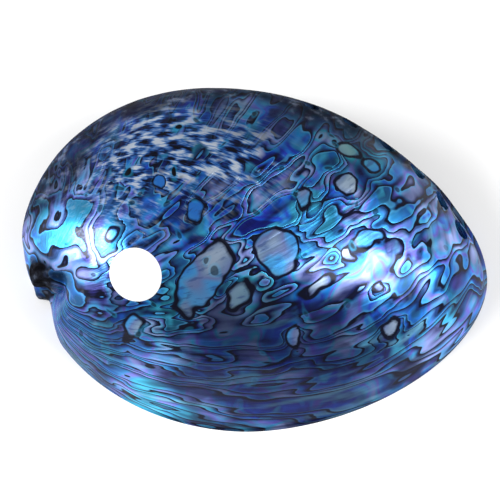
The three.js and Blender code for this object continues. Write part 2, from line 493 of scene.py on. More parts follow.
@dataclass(frozen=True)
class PolishedNacre:
    """Paua nacre, ground through its layers and buffed to a gloss.

    The eye gets a contour map of the cut layers: dark lines of horny protein, a bright cyan rim
    along one side of each, and cells between them that drift through azure, lavender and silver.
    Sizes are in millimetres. A pair named size is the size along the lines that it follows, and
    across them. The palette's span is the stretch of hue noise that its colours are spread over.
    """

    line: str = "#050a24"
    shadow: str = "#081050"
    # Dark blue of the painted shade.
    dusk: str = "#0a1040"
    rim: str = "#5cc4ff"
    green: str = "#1cb894"
    streak: str = "#8cdcff"
    halo: str = "#2ab4e8"
    pit: str = "#04060f"
    crease: str = "#34508c"
    pearl_green: str = "#4fae8a"
    palette: tuple[str, ...] = ("#0c1880", "#1660f4", "#3040d8", "#1496ff", "#7a66f0", "#2cc4ff", "#a8bcff")
    palette_span: tuple[float, float] = (0.28, 0.72)
    # Colours that the cells take under painted sheen and painted highlight.
    lit: Shades = ((0.42, "#4cd4ff"), (0.5, "#62b6ff"), (0.58, "#9498ff"))
    pearl: Shades = (
        (0.3, "#2f7fe0"),
        (0.45, "#4a9ce0"),
        (0.55, "#7080b8"),
        (0.65, "#7f96be"),
        (0.8, "#a2b6d0"),
    )
    dashes: Shades = (
        (0.43, "#06091c"),
        (0.47, "#16265e"),
        (0.52, "#2f6fc4"),
        (0.57, "#8fb2e4"),
        (0.62, "#dce8fa"),
    )
    # Colours of the crust, whose darkness is partly painted shade on the far flank.
    crust_and_shade: Shades = ((0.4, "#06060b"), (0.5, "#14151c"), (0.58, "#20242e"), (0.7, "#565e70"))
    warp_size: float = 7.0
    blob_size: float = 9.0
    cloud_size: float = 11.0
    gleam_size: float = 6.0
    clump_size: float = 7.0
    pit_spacing: float = 8.0
    grit_per_mm: float = 0.3
    cell_size: tuple[float, float] = (22.0, 5.0)
    stripe_size: tuple[float, float] = (30.0, 3.0)
    grain_size: tuple[float, float] = (26.0, 2.2)
    crinkle_size: tuple[float, float] = (4.0, 1.4)
    gap_size: tuple[float, float] = (2.4, 5.2)
    dash_size: tuple[float, float] = (0.5, 3.6)
    polish_size: tuple[float, float] = (14.0, 1.3)
    polish_depth: float = 0.4
    metallic: float = 0.9
    roughness: float = 0.32
    crust_roughness: float = 0.45
    coat: float = 0.35

    def drawn_out(
        self, graph: Graph, along: Link, size: tuple[float, float], detail: float, seed: float
    ) -> Link:
        """Noise drawn out along the growth lines or the rim.

        Args:
            graph: the material's tree.
            along: the coordinates that it follows.
            size: its size in mm along them and across them.
            detail: its octaves past the first.
            seed: how far its coordinates are moved, to make it differ from the others.

        Returns:
            The noise.
        """
        links = {0: along, 1: (1 / size[0], 1 / size[1], 1), 2: (seed, seed, seed)}
        moved = graph.add("VectorMath", links, operation="MULTIPLY_ADD")
        return graph.add("TexNoise", {"Vector": moved, "Scale": 1.0, "Detail": detail})

    def read_marks(self, graph: Graph) -> Marks:
        """Reads what the shell's mesh says about each place.

        Args:
            graph: the material's tree.

        Returns:
            The marks by name, with the place in mm, plain and warped.
        """
        marks = {}
        for name, parts in MARK_PARTS.items():
            attribute = graph.add("Attribute", attribute_name=name)
            split = graph.add("SeparateColor", {0: attribute.outputs["Color"]})
            marks.update(zip(parts, split.outputs))
        for name, output in (("growth", "Vector"), ("rim", "Vector"), ("layer", "Fac")):
            marks[name] = graph.add("Attribute", attribute_name=name).outputs[output]
        coords = graph.add("TexCoord").outputs["Object"]
        place = graph.add("VectorMath", {0: coords, "Scale": 1 / MM}, operation="SCALE")
        warp = graph.add("TexNoise", {"Vector": place, "Scale": 1 / self.warp_size, "Detail": 0.0})
        spread = (self.warp_size, self.warp_size, self.warp_size)
        links = {0: warp.outputs["Color"], 1: spread, 2: place}
        marks["place"] = place
        marks["warped"] = graph.add("VectorMath", links, operation="MULTIPLY_ADD")
        marks["loose"] = graph.add("Math", {0: marks["band"], 1: -0.85, 2: 1.0}, operation="MULTIPLY_ADD")
        return marks

    def cut_layer(self, graph: Graph, marks: Marks) -> Link:
        """The layer that the polish has reached.

        Args:
            graph: the material's tree.
            marks: what the mesh says.

        Returns:
            A number whose whole values are the dark lines.
        """
        add, loose = graph.add, marks["loose"]
        blobs = add("TexNoise", {"Vector": marks["warped"], "Scale": 1 / self.blob_size, "Detail": 0.3})
        cells = self.drawn_out(graph, marks["growth"], self.cell_size, 1.0, 0.0)
        stripes = self.drawn_out(graph, marks["rim"], self.stripe_size, 1.0, 5.0)
        blob_share = add("Math", {0: marks["calm"], 1: -2.6, 2: 4.6}, operation="MULTIPLY_ADD")
        cell_share = add("Math", {0: marks["calm"], 1: 8.5}, operation="MULTIPLY")
        level = marks["layer"]
        for pattern, zone, weight in (
            (blobs, loose, blob_share),
            (cells, loose, cell_share),
            (stripes, marks["band"], 5.0),
        ):
            height = add("Math", {0: zone, 1: weight}, operation="MULTIPLY")
            level = add("Math", {0: pattern, 1: height, 2: level}, operation="MULTIPLY_ADD")
        turns = add("Math", {0: level, 1: 2 * math.pi / 3}, operation="MULTIPLY")
        swing = add("Math", {0: turns}, operation="SINE")
        return add("Math", {0: swing, 1: 0.3, 2: level}, operation="MULTIPLY_ADD")

    def colour_cells(self, graph: Graph, marks: Marks, level: Link, drift: Link) -> Link:
        """Colours the cells between the lines, each with its lit side, shaded side and bright rim.

        Args:
            graph: the material's tree.
            marks: what the mesh says.
            level: the layer reached.
            drift: the slow change of hue.

        Returns:
            The colour.
        """
        add = graph.add
        floor = add("Math", {0: level}, operation="FLOOR")
        tone = add("TexWhiteNoise", {"W": floor}, noise_dimensions="1D")
        centred = add("Math", {0: tone, 1: 0.5}, operation="SUBTRACT")
        hue = add("Math", {0: centred, 1: 0.3, 2: drift}, operation="MULTIPLY_ADD")
        low, high = self.palette_span
        step = (high - low) / (len(self.palette) - 1)
        shades = tuple((low + step * index, code) for index, code in enumerate(self.palette))
        cell = add("ValToRGB", {0: hue}, linear(shades))
        greened = add("Math", {0: marks["green"], 1: 0.7}, operation="MULTIPLY", use_clamp=True)
        cell = add("Mix", {0: greened, 6: cell, 7: srgb(self.green)}, data_type="RGBA")

        # Painted sheen and highlight: where the gleam noise or the spots of painted highlight run high, the
        # cells take their lit colours and the shade beside each line is lifted.
        links = {"Vector": marks["warped"], "Scale": 1 / self.gleam_size, "Detail": 1.0, "W": 3.0}
        gleam = add("TexNoise", links, noise_dimensions="4D")
        gleam = add("Math", {0: gleam, 1: 6.0, 2: -2.9}, operation="MULTIPLY_ADD", use_clamp=True)
        gleam = add("Math", {0: gleam, 1: 0.75}, operation="MULTIPLY")
        glow = add("Math", {0: marks["glow"], 1: 0.85}, operation="MULTIPLY")
        shine = add("Math", {0: gleam, 1: glow}, operation="MAXIMUM")
        lit = add("ValToRGB", {0: hue}, linear(self.lit))
        cell = add("Mix", {0: shine, 6: cell, 7: lit}, data_type="RGBA")

        share = add("Math", {0: level}, operation="FRACT")
        shade = add("ValToRGB", {0: share}, ((0.17, BLACK), (0.37, GREY), (0.6, WHITE)))
        lift = add("Math", {0: shine, 1: 0.45}, operation="MULTIPLY")
        shade = add("Math", {0: shade, 1: lift}, operation="MAXIMUM")
        colour = add("Mix", {0: shade, 6: srgb(self.shadow), 7: cell}, data_type="RGBA")
        rim = add("ValToRGB", {0: share}, ((0.76, BLACK), (0.85, WHITE), (0.9, WHITE), (0.93, BLACK)))
        rim = add("Math", {0: rim, 1: 0.6}, operation="MULTIPLY")
        return add("Mix", {0: rim, 6: colour, 7: srgb(self.rim)}, data_type="RGBA")

    def streak_band(self, graph: Graph, marks: Marks, colour: Link) -> Link:
        """Lays bright and dark streaks along the rim over the near band.

        Args:
            graph: the material's tree.
            marks: what the mesh says.
            colour: the colour under them.

        Returns:
            The colour.
        """
        add, band = graph.add, marks["band"]
        grain = self.drawn_out(graph, marks["rim"], self.grain_size, 2.0, 11.0)
        for slope, start, strength, code in ((7.0, -3.9, 0.75, self.streak), (-7.0, 3.1, 0.8, self.line)):
            amount = add("Math", {0: grain, 1: slope, 2: start}, operation="MULTIPLY_ADD", use_clamp=True)
            amount = add("Math", {0: band, 1: amount}, operation="MULTIPLY")
            amount = add("Math", {0: amount, 1: strength}, operation="MULTIPLY")
            colour = add("Mix", {0: amount, 6: colour, 7: srgb(code)}, data_type="RGBA")
        return colour

    def darken(self, graph: Graph, marks: Marks, colour: Link) -> Link:
        """Dims the spots of painted shade and the drifting clouds of the nacre.

        Args:
            graph: the material's tree.
            marks: what the mesh says.
            colour: the colour under them.

        Returns:
            The colour.
        """
        add = graph.add
        cloud = add("TexNoise", {"Vector": marks["place"], "Scale": 1 / self.cloud_size, "Detail": 1.0})
        dim = add("Math", {0: cloud, 1: -4.0, 2: 2.2}, operation="MULTIPLY_ADD", use_clamp=True)
        weight = add("Math", {0: marks["band"], 1: 0.3, 2: 0.5}, operation="MULTIPLY_ADD")
        dim = add("Math", {0: dim, 1: weight}, operation="MULTIPLY")
        # Painted shade: the spots of painted shade pull the colour towards dark blue.
        dim = add("Math", {0: marks["dusk"], 1: 0.9, 2: dim}, operation="MULTIPLY_ADD", use_clamp=True)
        dim = add("Math", {0: dim, 1: 0.85}, operation="MULTIPLY")
        return add("Mix", {0: dim, 6: colour, 7: srgb(self.dusk)}, data_type="RGBA")

    def lay_plates(self, graph: Graph, marks: Marks, inside: Link, drift: Link, colour: Link) -> Link:
        """Fills the lone cells with crinkled pearl and bounds them with a dark line.

        Args:
            graph: the material's tree.
            marks: what the mesh says.
            inside: 1 inside a lone cell.
            drift: the slow change of hue.
            colour: the colour around them.

        Returns:
            The colour.
        """
        add = graph.add
        tone = add("Math", {0: marks["silver"], 1: 0.25, 2: drift}, operation="MULTIPLY_ADD")
        pearl = add("ValToRGB", {0: tone}, linear(self.pearl))
        greened = add("Math", {0: marks["green"], 1: 0.5}, operation="MULTIPLY", use_clamp=True)
        pearl = add("Mix", {0: greened, 6: pearl, 7: srgb(self.pearl_green)}, data_type="RGBA")
        crinkle = self.drawn_out(graph, marks["growth"], self.crinkle_size, 3.0, 13.0)
        crinkle = add("Math", {0: crinkle, 1: -8.0, 2: 3.7}, operation="MULTIPLY_ADD", use_clamp=True)
        crinkle = add("Math", {0: crinkle, 1: 0.6}, operation="MULTIPLY")
        pearl = add("Mix", {0: crinkle, 6: pearl, 7: srgb(self.crease)}, data_type="RGBA")
        colour = add("Mix", {0: inside, 6: colour, 7: pearl}, data_type="RGBA")
        stops = ((0.43, BLACK), (0.47, WHITE), (0.53, WHITE), (0.58, BLACK))
        bound = add("ValToRGB", {0: marks["plate"]}, stops)
        return add("Mix", {0: bound, 6: colour, 7: srgb(self.line)}, data_type="RGBA")

    def lay_dashes(self, graph: Graph, marks: Marks, inside: Link, colour: Link) -> Link:
        """Breaks the crown into clumps of short pale and dark dashes.

        Args:
            graph: the material's tree.
            marks: what the mesh says.
            inside: 1 inside a lone cell, which stays whole.
            colour: the colour under them.

        Returns:
            The colour.
        """
        add = graph.add
        gaps = self.drawn_out(graph, marks["growth"], self.gap_size, 1.5, 3.0)
        gaps = add("Math", {0: gaps, 1: 0.68}, operation="MULTIPLY")
        dashes = self.drawn_out(graph, marks["growth"], self.dash_size, 2.0, 9.0)
        dashes = add("Math", {0: dashes, 1: 0.37, 2: gaps}, operation="MULTIPLY_ADD")
        dash = add("ValToRGB", {0: dashes}, linear(self.dashes))
        clumps = add("TexNoise", {"Vector": marks["warped"], "Scale": 1 / self.clump_size, "Detail": 2.0})
        amount = add("Math", {0: clumps, 1: 7.0, 2: -2.5}, operation="MULTIPLY_ADD", use_clamp=True)
        amount = add("Math", {0: marks["streak"], 1: amount}, operation="MULTIPLY", use_clamp=True)
        outside = add("Math", {0: 1.0, 1: inside}, operation="SUBTRACT")
        amount = add("Math", {0: amount, 1: outside}, operation="MULTIPLY")
        return add("Mix", {0: amount, 6: colour, 7: dash}, data_type="RGBA")

    def lay_pits(self, graph: Graph, marks: Marks, colour: Link) -> Link:
        """Dots the surface with small borings, each with a bright halo.

        Args:
            graph: the material's tree.
            marks: what the mesh says.
            colour: the colour around them.

        Returns:
            The colour.
        """
        add = graph.add
        apart = add("TexVoronoi", {"Vector": marks["warped"], "Scale": 1 / self.pit_spacing})
        pit = add("ValToRGB", {0: apart}, ((0.1, WHITE), (0.13, BLACK)))
        halo = add("ValToRGB", {0: apart}, ((0.16, WHITE), (0.22, BLACK)))
        loose = add("Math", {0: marks["loose"], 1: 0.7}, operation="MULTIPLY")
        pitted = add("Math", {0: marks["streak"], 1: loose}, operation="MAXIMUM", use_clamp=True)
        faint = add("Math", {0: pitted, 1: 0.35}, operation="MULTIPLY")
        halo = add("Math", {0: halo, 1: faint}, operation="MULTIPLY")
        colour = add("Mix", {0: halo, 6: colour, 7: srgb(self.halo)}, data_type="RGBA")
        pit = add("Math", {0: pit, 1: pitted}, operation="MULTIPLY")
        return add("Mix", {0: pit, 6: colour, 7: srgb(self.pit)}, data_type="RGBA")

    def lay_crust_and_shade(self, graph: Graph, marks: Marks, colour: Link) -> Link:
        """Lays the dark, dull crust over the far flank and the worn spots: partly real unpolished crust and
        wear, partly painted shade that darkens the far flank.

        Args:
            graph: the material's tree.
            marks: what the mesh says.
            colour: the colour around it.

        Returns:
            The colour.
        """
        add = graph.add
        grit = add("TexNoise", {"Vector": marks["place"], "Scale": self.grit_per_mm, "Detail": 5.0})
        crust_and_shade = add("ValToRGB", {0: grit}, linear(self.crust_and_shade))
        amount = add("Math", {0: marks["dull"], 1: 0.92}, operation="MULTIPLY", use_clamp=True)
        return add("Mix", {0: amount, 6: colour, 7: crust_and_shade}, data_type="RGBA")

    def build(self) -> bpy.types.Material:
        """Builds the material."""
        graph = Graph("paua_nacre_polished")
        add = graph.add
        marks = self.read_marks(graph)
        level = self.cut_layer(graph, marks)
        drift = add("TexNoise", {"Vector": marks["warped"], "Scale": 1 / self.blob_size, "Detail": 0.5})
        inside = add("ValToRGB", {0: marks["plate"]}, ((0.5, BLACK), (0.51, WHITE)))
        share = add("Math", {0: level}, operation="FRACT")
        close = add("ValToRGB", {0: share}, ((0.89, WHITE), (0.94, BLACK)))
        clear = add("ValToRGB", {0: share}, ((0.07, BLACK), (0.16, WHITE)))
        lines = add("Math", {0: close, 1: clear}, operation="MULTIPLY")

        colour = self.colour_cells(graph, marks, level, drift)
        colour = self.streak_band(graph, marks, colour)
        colour = self.darken(graph, marks, colour)
        colour = add("Mix", {0: lines, 6: srgb(self.line), 7: colour}, data_type="RGBA")
        colour = self.lay_plates(graph, marks, inside, drift, colour)
        colour = self.lay_dashes(graph, marks, inside, colour)
        colour = self.lay_pits(graph, marks, colour)
        colour = self.lay_crust_and_shade(graph, marks, colour)

        depth = add("Math", {0: inside, 1: -0.2, 2: 0.2}, operation="MULTIPLY_ADD")
        etched = add("Math", {0: lines, 1: depth}, operation="MULTIPLY")
        polish = self.drawn_out(graph, marks["growth"], self.polish_size, 2.0, 7.0)
        relief = add("Math", {0: etched, 1: polish}, operation="ADD")
        bump = add("Bump", {"Strength": 0.4, "Distance": self.polish_depth * MM, "Height": relief})
        dull = marks["dull"]
        gloss = {0: dull, 1: -self.metallic, 2: self.metallic}
        rough = {0: dull, 1: self.crust_roughness, 2: self.roughness}
        coat = {0: dull, 1: -0.4, 2: self.coat}
        links = {
            "Base Color": colour,
            "Metallic": add("Math", gloss, operation="MULTIPLY_ADD", use_clamp=True),
            "Roughness": add("Math", rough, operation="MULTIPLY_ADD"),
            "Normal": bump,
            "Specular IOR Level": 0.05,
            "Coat Weight": add("Math", coat, operation="MULTIPLY_ADD", use_clamp=True),
            "Coat Roughness": 0.1,
        }
        add("OutputMaterial", {"Surface": add("BsdfPrincipled", links)})
        return graph.material


@dataclass(frozen=True)
class LabelPaper:
    """Coated label stock, die cut: a flat white with a faint fibre tooth."""

    white: str = "#f3f4f6"
    fibre: str = "#d9dde2"
    fibres_per_mm: float = 4.0
    tooth: float = 0.05

    def build(self) -> bpy.types.Material:
        """Builds the material."""
        graph = Graph("label_paper_coated")
        add = graph.add
        coords = add("TexCoord").outputs["Object"]
        place = add("VectorMath", {0: coords, "Scale": 1 / MM}, operation="SCALE")
        fibre = add("TexNoise", {"Vector": place, "Scale": self.fibres_per_mm, "Detail": 3.0})
        faint = add("Math", {0: fibre, 1: 0.12}, operation="MULTIPLY")
        colour = add("Mix", {0: faint, 6: srgb(self.white), 7: srgb(self.fibre)}, data_type="RGBA")
        bump = add("Bump", {"Height": fibre, "Strength": 0.15, "Distance": self.tooth * MM})
        shader = add("BsdfPrincipled", {"Base Color": colour, "Roughness": 0.55, "Normal": bump})
        add("OutputMaterial", {"Surface": shader})
        return graph.material


@dataclass(frozen=True)
class StudioPaper:
    """Matt paper: a pale sweep that the shell lies on, with no gloss of its own."""

    tone: str = "#f4f4f4"

    def build(self) -> bpy.types.Material:
        """Builds the material."""
        graph = Graph("studio_paper_matt")
        shader = graph.add("BsdfPrincipled", {"Base Color": srgb(self.tone), "Roughness": 0.9})
        graph.add("OutputMaterial", {"Surface": shader})
        return graph.material


# ---------------------------------------------------------------------------------------------
# Sub-assemblies
# ---------------------------------------------------------------------------------------------


@dataclass
class Shell:
    """The shell itself: outer surface, inner surface, lip and breathing holes in one closed mesh."""

    form: DomeForm
    plates: tuple[Plate, ...] = (
        Plate(-15, -16, 21, 9.5, 52),
        Plate(6, -7, 14, 12, 62),
        Plate(-5, -20, 9, 4, 50),
        Plate(17, -15, 9, 2.8, 42),
        Plate(24, 16, 6.2, 6, 20),
        Plate(12, 9, 6.4, 4.6, 105),
        Plate(25, -4, 5, 4, 100),
        Plate(-30, 11, 4.8, 3.8, 75),
        Plate(-19, 2, 6.5, 3.6, 70),
        Plate(-33, -29, 6, 4, 60),
        Plate(12, -29, 4.6, 4.2, 30),
        Plate(40, -22, 5, 3, 50),
        Plate(24, 27, 7, 4.2, -25),
        Plate(30, 24, 4, 4, 0),
        Plate(-41, -6, 4.5, 2.8, 60),
        Plate(31, 1, 9, 4.5, 35),
        Plate(35, -11, 4, 3, 45),
    )
    pattern_seed: int = 11
    plate_warp: float = 1.3
    plate_grain: float = 3.4
    plate_reach: float = 2.4
    plate_lift: float = 2.2
    rim_radius: float = 60.0
    line_rate: float = 0.3
    line_lean: float = 30.0
    line_start: float = 200.0
    line_ease: float = 3.0
    rim_layers: float = 3.0
    # Where zones start, waver and fade in. The band's reach and the crust's values are in reach, which is
    # 0 at the crown and 1 at the lip. The crust's darkness is partly painted shade on the far flank. The
    # band's start, the line zone and the calm span are in mm.
    band_reach: tuple[float, float] = (0.5, 0.85)
    band_start: tuple[float, float] = (-92.0, -70.0)
    line_zone: tuple[float, float] = (-70.0, -40.0)
    calm_span: tuple[float, float] = (8.0, 70.0)
    crust_reach: float = 0.52
    crust_retreat: float = 0.36
    crust_waver: float = 0.08
    crust_ease: tuple[float, float] = (-0.03, 0.07)
    # Spots of painted highlight, which brighten the nacre towards its lit colours.
    glow: Spots = Spots(
        (
            (-48, -4, 14, 0.95),
            (-28, -14, 9, 0.3),
            (-50, -34, 8, 0.7),
            (-30, -45, 9, 1.6),
            (-14, -48, 6, 1.3),
            (19, -3, 8, 0.9),
            (43, -3, 14, 0.5),
            (60, -18, 10, 0.6),
            (35, 9, 8, 0.4),
        )
    )
    green: Spots = Spots(
        (
            (27, 30, 9, 1.0),
            (10, 36, 7, 0.7),
            (16, 6, 6, 0.5),
            (-11, 36, 6, 0.6),
            (-25, -25, 8, 0.5),
            (2, -15, 7, 0.4),
            (-2, -24, 8, 0.4),
        )
    )
    silver: Spots = Spots(
        (
            (-13, -12, 7, 1.0),
            (4, -5, 7, 0.6),
            (24, 16, 4, 1.2),
            (12, 9, 4, 1.2),
            (25, -4, 4, 1.2),
            (17, -15, 5, 1.0),
            (40, -22, 4, 1.2),
        )
    )
    # Spots of painted shade, which darken the near and far flanks.
    dusk: Spots = Spots(
        (
            (18, -37, 20, 1.3),
            (-40, -29, 10, 0.7),
            (-8, -36, 13, 1.3),
            (44, -34, 12, 0.5),
            (-15, 46, 24, 0.7),
            (12, 44, 18, 0.6),
            (38, 34, 20, 0.7),
            (-50, 27, 18, 0.6),
        )
    )
    worn: Spots = Spots(
        (
            (-63.5, -12.5, 3.8, 1.2),
            (-62.5, -17, 3.8, 1.2),
            (-53, -26, 8, 0.6),
            (-42, -33, 8, 0.5),
            (44, -12, 4.5, 0.6),
        )
    )
    streaks: Spots = Spots(((-38, 14, 14, 0.8), (-22, 18, 13, 0.9), (-6, 19, 10, 0.8), (-30, 28, 10, 0.6)))
    turns: int = 384
    rings: int = 170
    inner_turns: int = 180
    inner_rings: int = 56
    ring_crowding: float = 1.3
    hole_count: int = 6
    hole_length: float = 6.8
    hole_shrink: float = 0.94
    hole_aspect: float = 0.78
    lining_green: float = 0.35
    lining_calm: float = 0.6
    hole_round: float = 0.3

    @staticmethod
    def sheet(turns: int, rings: int) -> tuple[bmesh.types.BMesh, Array, Array]:
        """A grid to be wrapped over the dome.

        Args:
            turns: its faces around the dome.
            rings: its faces from the middle to the lip.

        Returns:
            The grid, and each vertex's direction about the middle and share of the way to the lip.
        """
        bm = bmesh.new()
        bmesh.ops.create_grid(bm, x_segments=turns, y_segments=rings, size=1.0)
        flat = np.array([vert.co[:] for vert in bm.verts])
        return bm, flat[:, 0] * math.pi, (flat[:, 1] + 1) / 2

    @staticmethod
    def unwrap(bm: bmesh.types.BMesh, ways: Array, centre: float, radius: float) -> None:
        """Lays a surface's plan into the bake map as a disc."""
        uv = bm.loops.layers.uv.new("OFBake")
        bm.verts.index_update()
        for face in bm.faces:
            for loop in face.loops:
                along, across = ways[loop.vert.index]
                loop[uv].uv = (centre + radius * along, centre + radius * across)

    def outer_surface(self) -> bmesh.types.BMesh:
        """The outer surface, its rings crowded about the spire."""
        form = self.form
        bm, around, pole = self.sheet(self.turns, self.rings)
        ring = pole**self.ring_crowding
        spire_turn = math.radians(form.spire_turn)
        spire = np.array([math.cos(spire_turn), math.sin(spire_turn)]) * (1 - form.spire_climb)
        rim = np.stack([np.cos(around), np.sin(around)], axis=-1)
        ways = spire * (1 - ring[:, None]) + rim * ring[:, None]
        turn = np.arctan2(ways[:, 1], ways[:, 0])
        reach = np.where(pole > 1 - 1e-6, 1.0, np.minimum(row_lengths(ways)[:, 0], 1.0))
        climb = form.climb_at(turn, reach)
        points = form.outer(turn, climb)
        self.mark(bm, turn, climb, ways)
        for vert, point in zip(bm.verts, points):
            vert.co = point
        self.unwrap(bm, ways, 0.42, 0.4)
        bmesh.ops.remove_doubles(bm, verts=bm.verts[:], dist=1e-4)
        bmesh.ops.reverse_faces(bm, faces=bm.faces[:])
        return bm

    def mark(self, bm: bmesh.types.BMesh, turn: Array, climb: Array, ways: Array) -> None:
        """Gives each vertex its growth coordinates and its share of each zone of the pattern, of painted
        highlight and of painted shade.

        Args:
            bm: the outer surface.
            turn: each vertex's direction about the crown.
            climb: its climb from the lip.
            ways: its place on the way disc.
        """
        across, along = self.form.growth(turn, climb)
        points = self.form.dome(turn, climb)
        x, y = points[:, 0], points[:, 1]
        reach = row_lengths(ways)[:, 0]
        noise.seed_set(self.pattern_seed)
        offsets = np.array([noise.noise_vector(Vector(point) / self.plate_grain) for point in points])
        swells = np.array([noise.noise_vector(Vector(point) / (3 * self.plate_grain)) for point in points])
        warped = points + self.plate_warp * (offsets + 1.7 * swells)
        apart = np.min([plate.distance(warped[:, 0], warped[:, 1]) for plate in self.plates], axis=0)
        near = smoothstep(0.35 * ways[:, 0] - ways[:, 1], 0.0, 0.7)
        band = smoothstep(reach, *self.band_reach) * near * smoothstep(x + y, *self.band_start)
        # The crust lies on the far flank only, where its darkness is partly painted shade.
        far = smoothstep(ways[:, 1] - 0.2 * ways[:, 0], 0.0, 0.25)
        edge = self.crust_reach + self.crust_retreat * smoothstep(ways[:, 0], 0.0, 0.9)
        past_edge = reach + self.crust_waver * swells[:, 0] - edge
        dull = 0.95 * smoothstep(past_edge, *self.crust_ease) * far
        spire = self.form.spire_place().translation
        apart_spire = np.hypot(x - spire.x, y - spire.y)
        calm = smoothstep(apart_spire, *self.calm_span)
        past = (along + self.line_lean * reach - self.line_start) / self.line_ease
        lines = self.line_rate * self.line_ease * np.log1p(np.exp(past))
        lined = np.maximum(band, 0.55 * smoothstep(past, -2, 3) * smoothstep(x + y, *self.line_zone))
        lift = self.plate_lift * np.exp(-np.maximum(apart, 0) / self.plate_reach)
        layer = lift + lines + self.rim_layers * band * reach**3
        # The spots of painted highlight and painted shade are light and shade painted onto the nacre.
        parts = {
            "band": lined,
            "streak": self.streaks.field(x, y),
            "dull": np.maximum(dull, self.worn.field(x, y)),
            "glow": self.glow.field(x, y),
            "green": self.green.field(x, y),
            "silver": self.silver.field(x, y),
            "dusk": self.dusk.field(x, y),
            "calm": calm,
            "plate": np.clip(0.5 - apart / 8, 0, 1),
        }
        marks = {}
        for name, held in MARK_PARTS.items():
            marks[name] = np.stack([parts[part] for part in held], axis=-1)
        rim_places = np.stack([turn * self.rim_radius, (1 - reach) * self.rim_radius, 0 * turn], axis=-1)
        growth = bm.verts.layers.float_vector.new("growth")
        rims = bm.verts.layers.float_vector.new("rim")
        layers = bm.verts.layers.float.new("layer")
        fields = {name: bm.verts.layers.float_color.new(name) for name in marks}
        for index, vert in enumerate(bm.verts):
            vert[growth] = (across[index], along[index], 0.0)
            vert[rims] = rim_places[index]
            vert[layers] = layer[index]
            for name, field_layer in fields.items():
                vert[field_layer] = (*marks[name][index], 1.0)

    def inner_surface(self) -> bmesh.types.BMesh:
        """The inner surface, facing into the hollow."""
        form = self.form
        bm, turn, pole = self.sheet(self.inner_turns, self.inner_rings)
        points = form.inner(turn, form.climb_at(turn, np.where(pole > 1 - 1e-6, 1.0, pole)))
        middle = pole < 1e-6
        points[middle] = points[middle].mean(axis=0)
        for vert, point in zip(bm.verts, points):
            vert.co = point
        self.unwrap(bm, np.stack([np.cos(turn), np.sin(turn)], axis=-1) * pole[:, None], 0.87, 0.12)
        bmesh.ops.remove_doubles(bm, verts=bm.verts[:], dist=1e-4)
        return bm

    def mark_lining(self, bm: bmesh.types.BMesh, lining: list[bmesh.types.BMVert]) -> None:
        """Makes the lining plain nacre with a green cast, free of the outside's zones.

        Args:
            bm: both surfaces.
            lining: the vertices of the inner one.
        """
        growth = bm.verts.layers.float_vector["growth"]
        rims = bm.verts.layers.float_vector["rim"]
        layers = bm.verts.layers.float["layer"]
        strength = {"green": self.lining_green, "calm": self.lining_calm}
        fields = {name: bm.verts.layers.float_color[name] for name in MARK_PARTS}
        plain = {name: [strength.get(part, 0.0) for part in parts] for name, parts in MARK_PARTS.items()}
        for vert in lining:
            vert[growth] = (vert.co.x, vert.co.y, 0.0)
            vert[rims] = (vert.co.x, vert.co.y, 0.0)
            vert[layers] = 0.0
            for name, field_layer in fields.items():
                vert[field_layer] = (*plain[name], 1.0)

    def hole_places(self) -> list[tuple[Matrix, float, float]]:
        """Frame, half length and half width of each breathing hole, from the lip back."""
        places = []
        for index in range(self.hole_count):
            turn = math.radians(self.form.row_start + self.form.row_step * index)
            climb = self.form.row_climb + self.form.row_rise * index
            half = self.hole_length * self.hole_shrink**index / 2
            places.append((self.form.place(turn, climb), half, half * self.hole_aspect))
        return places

    def open_hole(self, bm: bmesh.types.BMesh, place: Matrix, half: float, width: float) -> None:
        """Opens one breathing hole through both surfaces and lines its wall.

        Args:
            bm: both surfaces, facing out of the shell's thickness.
            place: the hole's frame.
            half: its half length.
            width: its half width.
        """
        inverse = place.inverted()
        reach = 1.5 * half + self.form.wall
        verts = [vert for vert in bm.verts if (vert.co - place.translation).length < reach]
        close = dict.fromkeys(face for vert in verts for face in vert.link_faces)

        def share(point: Vector) -> float:
            """How far out a point is, and 1 on the hole's edge."""
            local = inverse @ point
            return math.hypot(local.x / half, local.y / width)

        inside = [face for face in close if share(face.calc_center_median()) < 1.0]
        held = set(inside)
        edges = dict.fromkeys(edge for face in inside for edge in face.edges)
        rim = [edge for edge in edges if not held.issuperset(edge.link_faces)]
        bmesh.ops.delete(bm, geom=inside, context="FACES")
        for vert in dict.fromkeys(vert for edge in rim for vert in edge.verts):
            local = inverse @ vert.co
            scale = 1 / max(share(vert.co), 1e-6)
            vert.co = place @ Vector((local.x * scale, local.y * scale, local.z))
        wall = bmesh.ops.bridge_loops(bm, edges=rim)["faces"]
        wall_edges = {edge for face in wall for edge in face.edges}
        bmesh.ops.bevel(
            bm,
            geom=[edge for edge in rim if edge in wall_edges],
            offset=self.hole_round,
            affect="EDGES",
            segments=3,
            profile=0.5,
            material=-1,
            clamp_overlap=True,
        )

    def build(self, material: bpy.types.Material) -> bpy.types.Object:
        """Builds the shell.

        Args:
            material: its finish.

        Returns:
            The finished piece.
        """
        bm = self.outer_surface()
        inner = self.inner_surface()
        lining = bpy.data.meshes.new("lining")
        inner.to_mesh(lining)
        inner.free()
        outer = set(bm.verts)
        bm.from_mesh(lining)
        bpy.data.meshes.remove(lining)
        self.mark_lining(bm, [vert for vert in bm.verts if vert not in outer])
        bmesh.ops.bridge_loops(bm, edges=[edge for edge in bm.edges if edge.is_boundary])
        for place, half, width in self.hole_places():
            self.open_hole(bm, place, half, width)
        bmesh.ops.recalc_face_normals(bm, faces=bm.faces[:])
        self.centre(bm)
        return finish_piece("paua_shell", bm, material)

    def centre(self, bm: bmesh.types.BMesh) -> None:
        """Moves the mesh so that its box is centred as the frame's shell is."""
        low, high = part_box("shell")
        middle = (low + high) / (2 * MM)
        across = [vert.co.x for vert in bm.verts]
        deep = [vert.co.y for vert in bm.verts]
        own = Vector(((min(across) + max(across)) / 2, (min(deep) + max(deep)) / 2, 0))
        bmesh.ops.translate(bm, vec=Vector((middle.x - own.x, middle.y - own.y, 0)), verts=bm.verts[:])


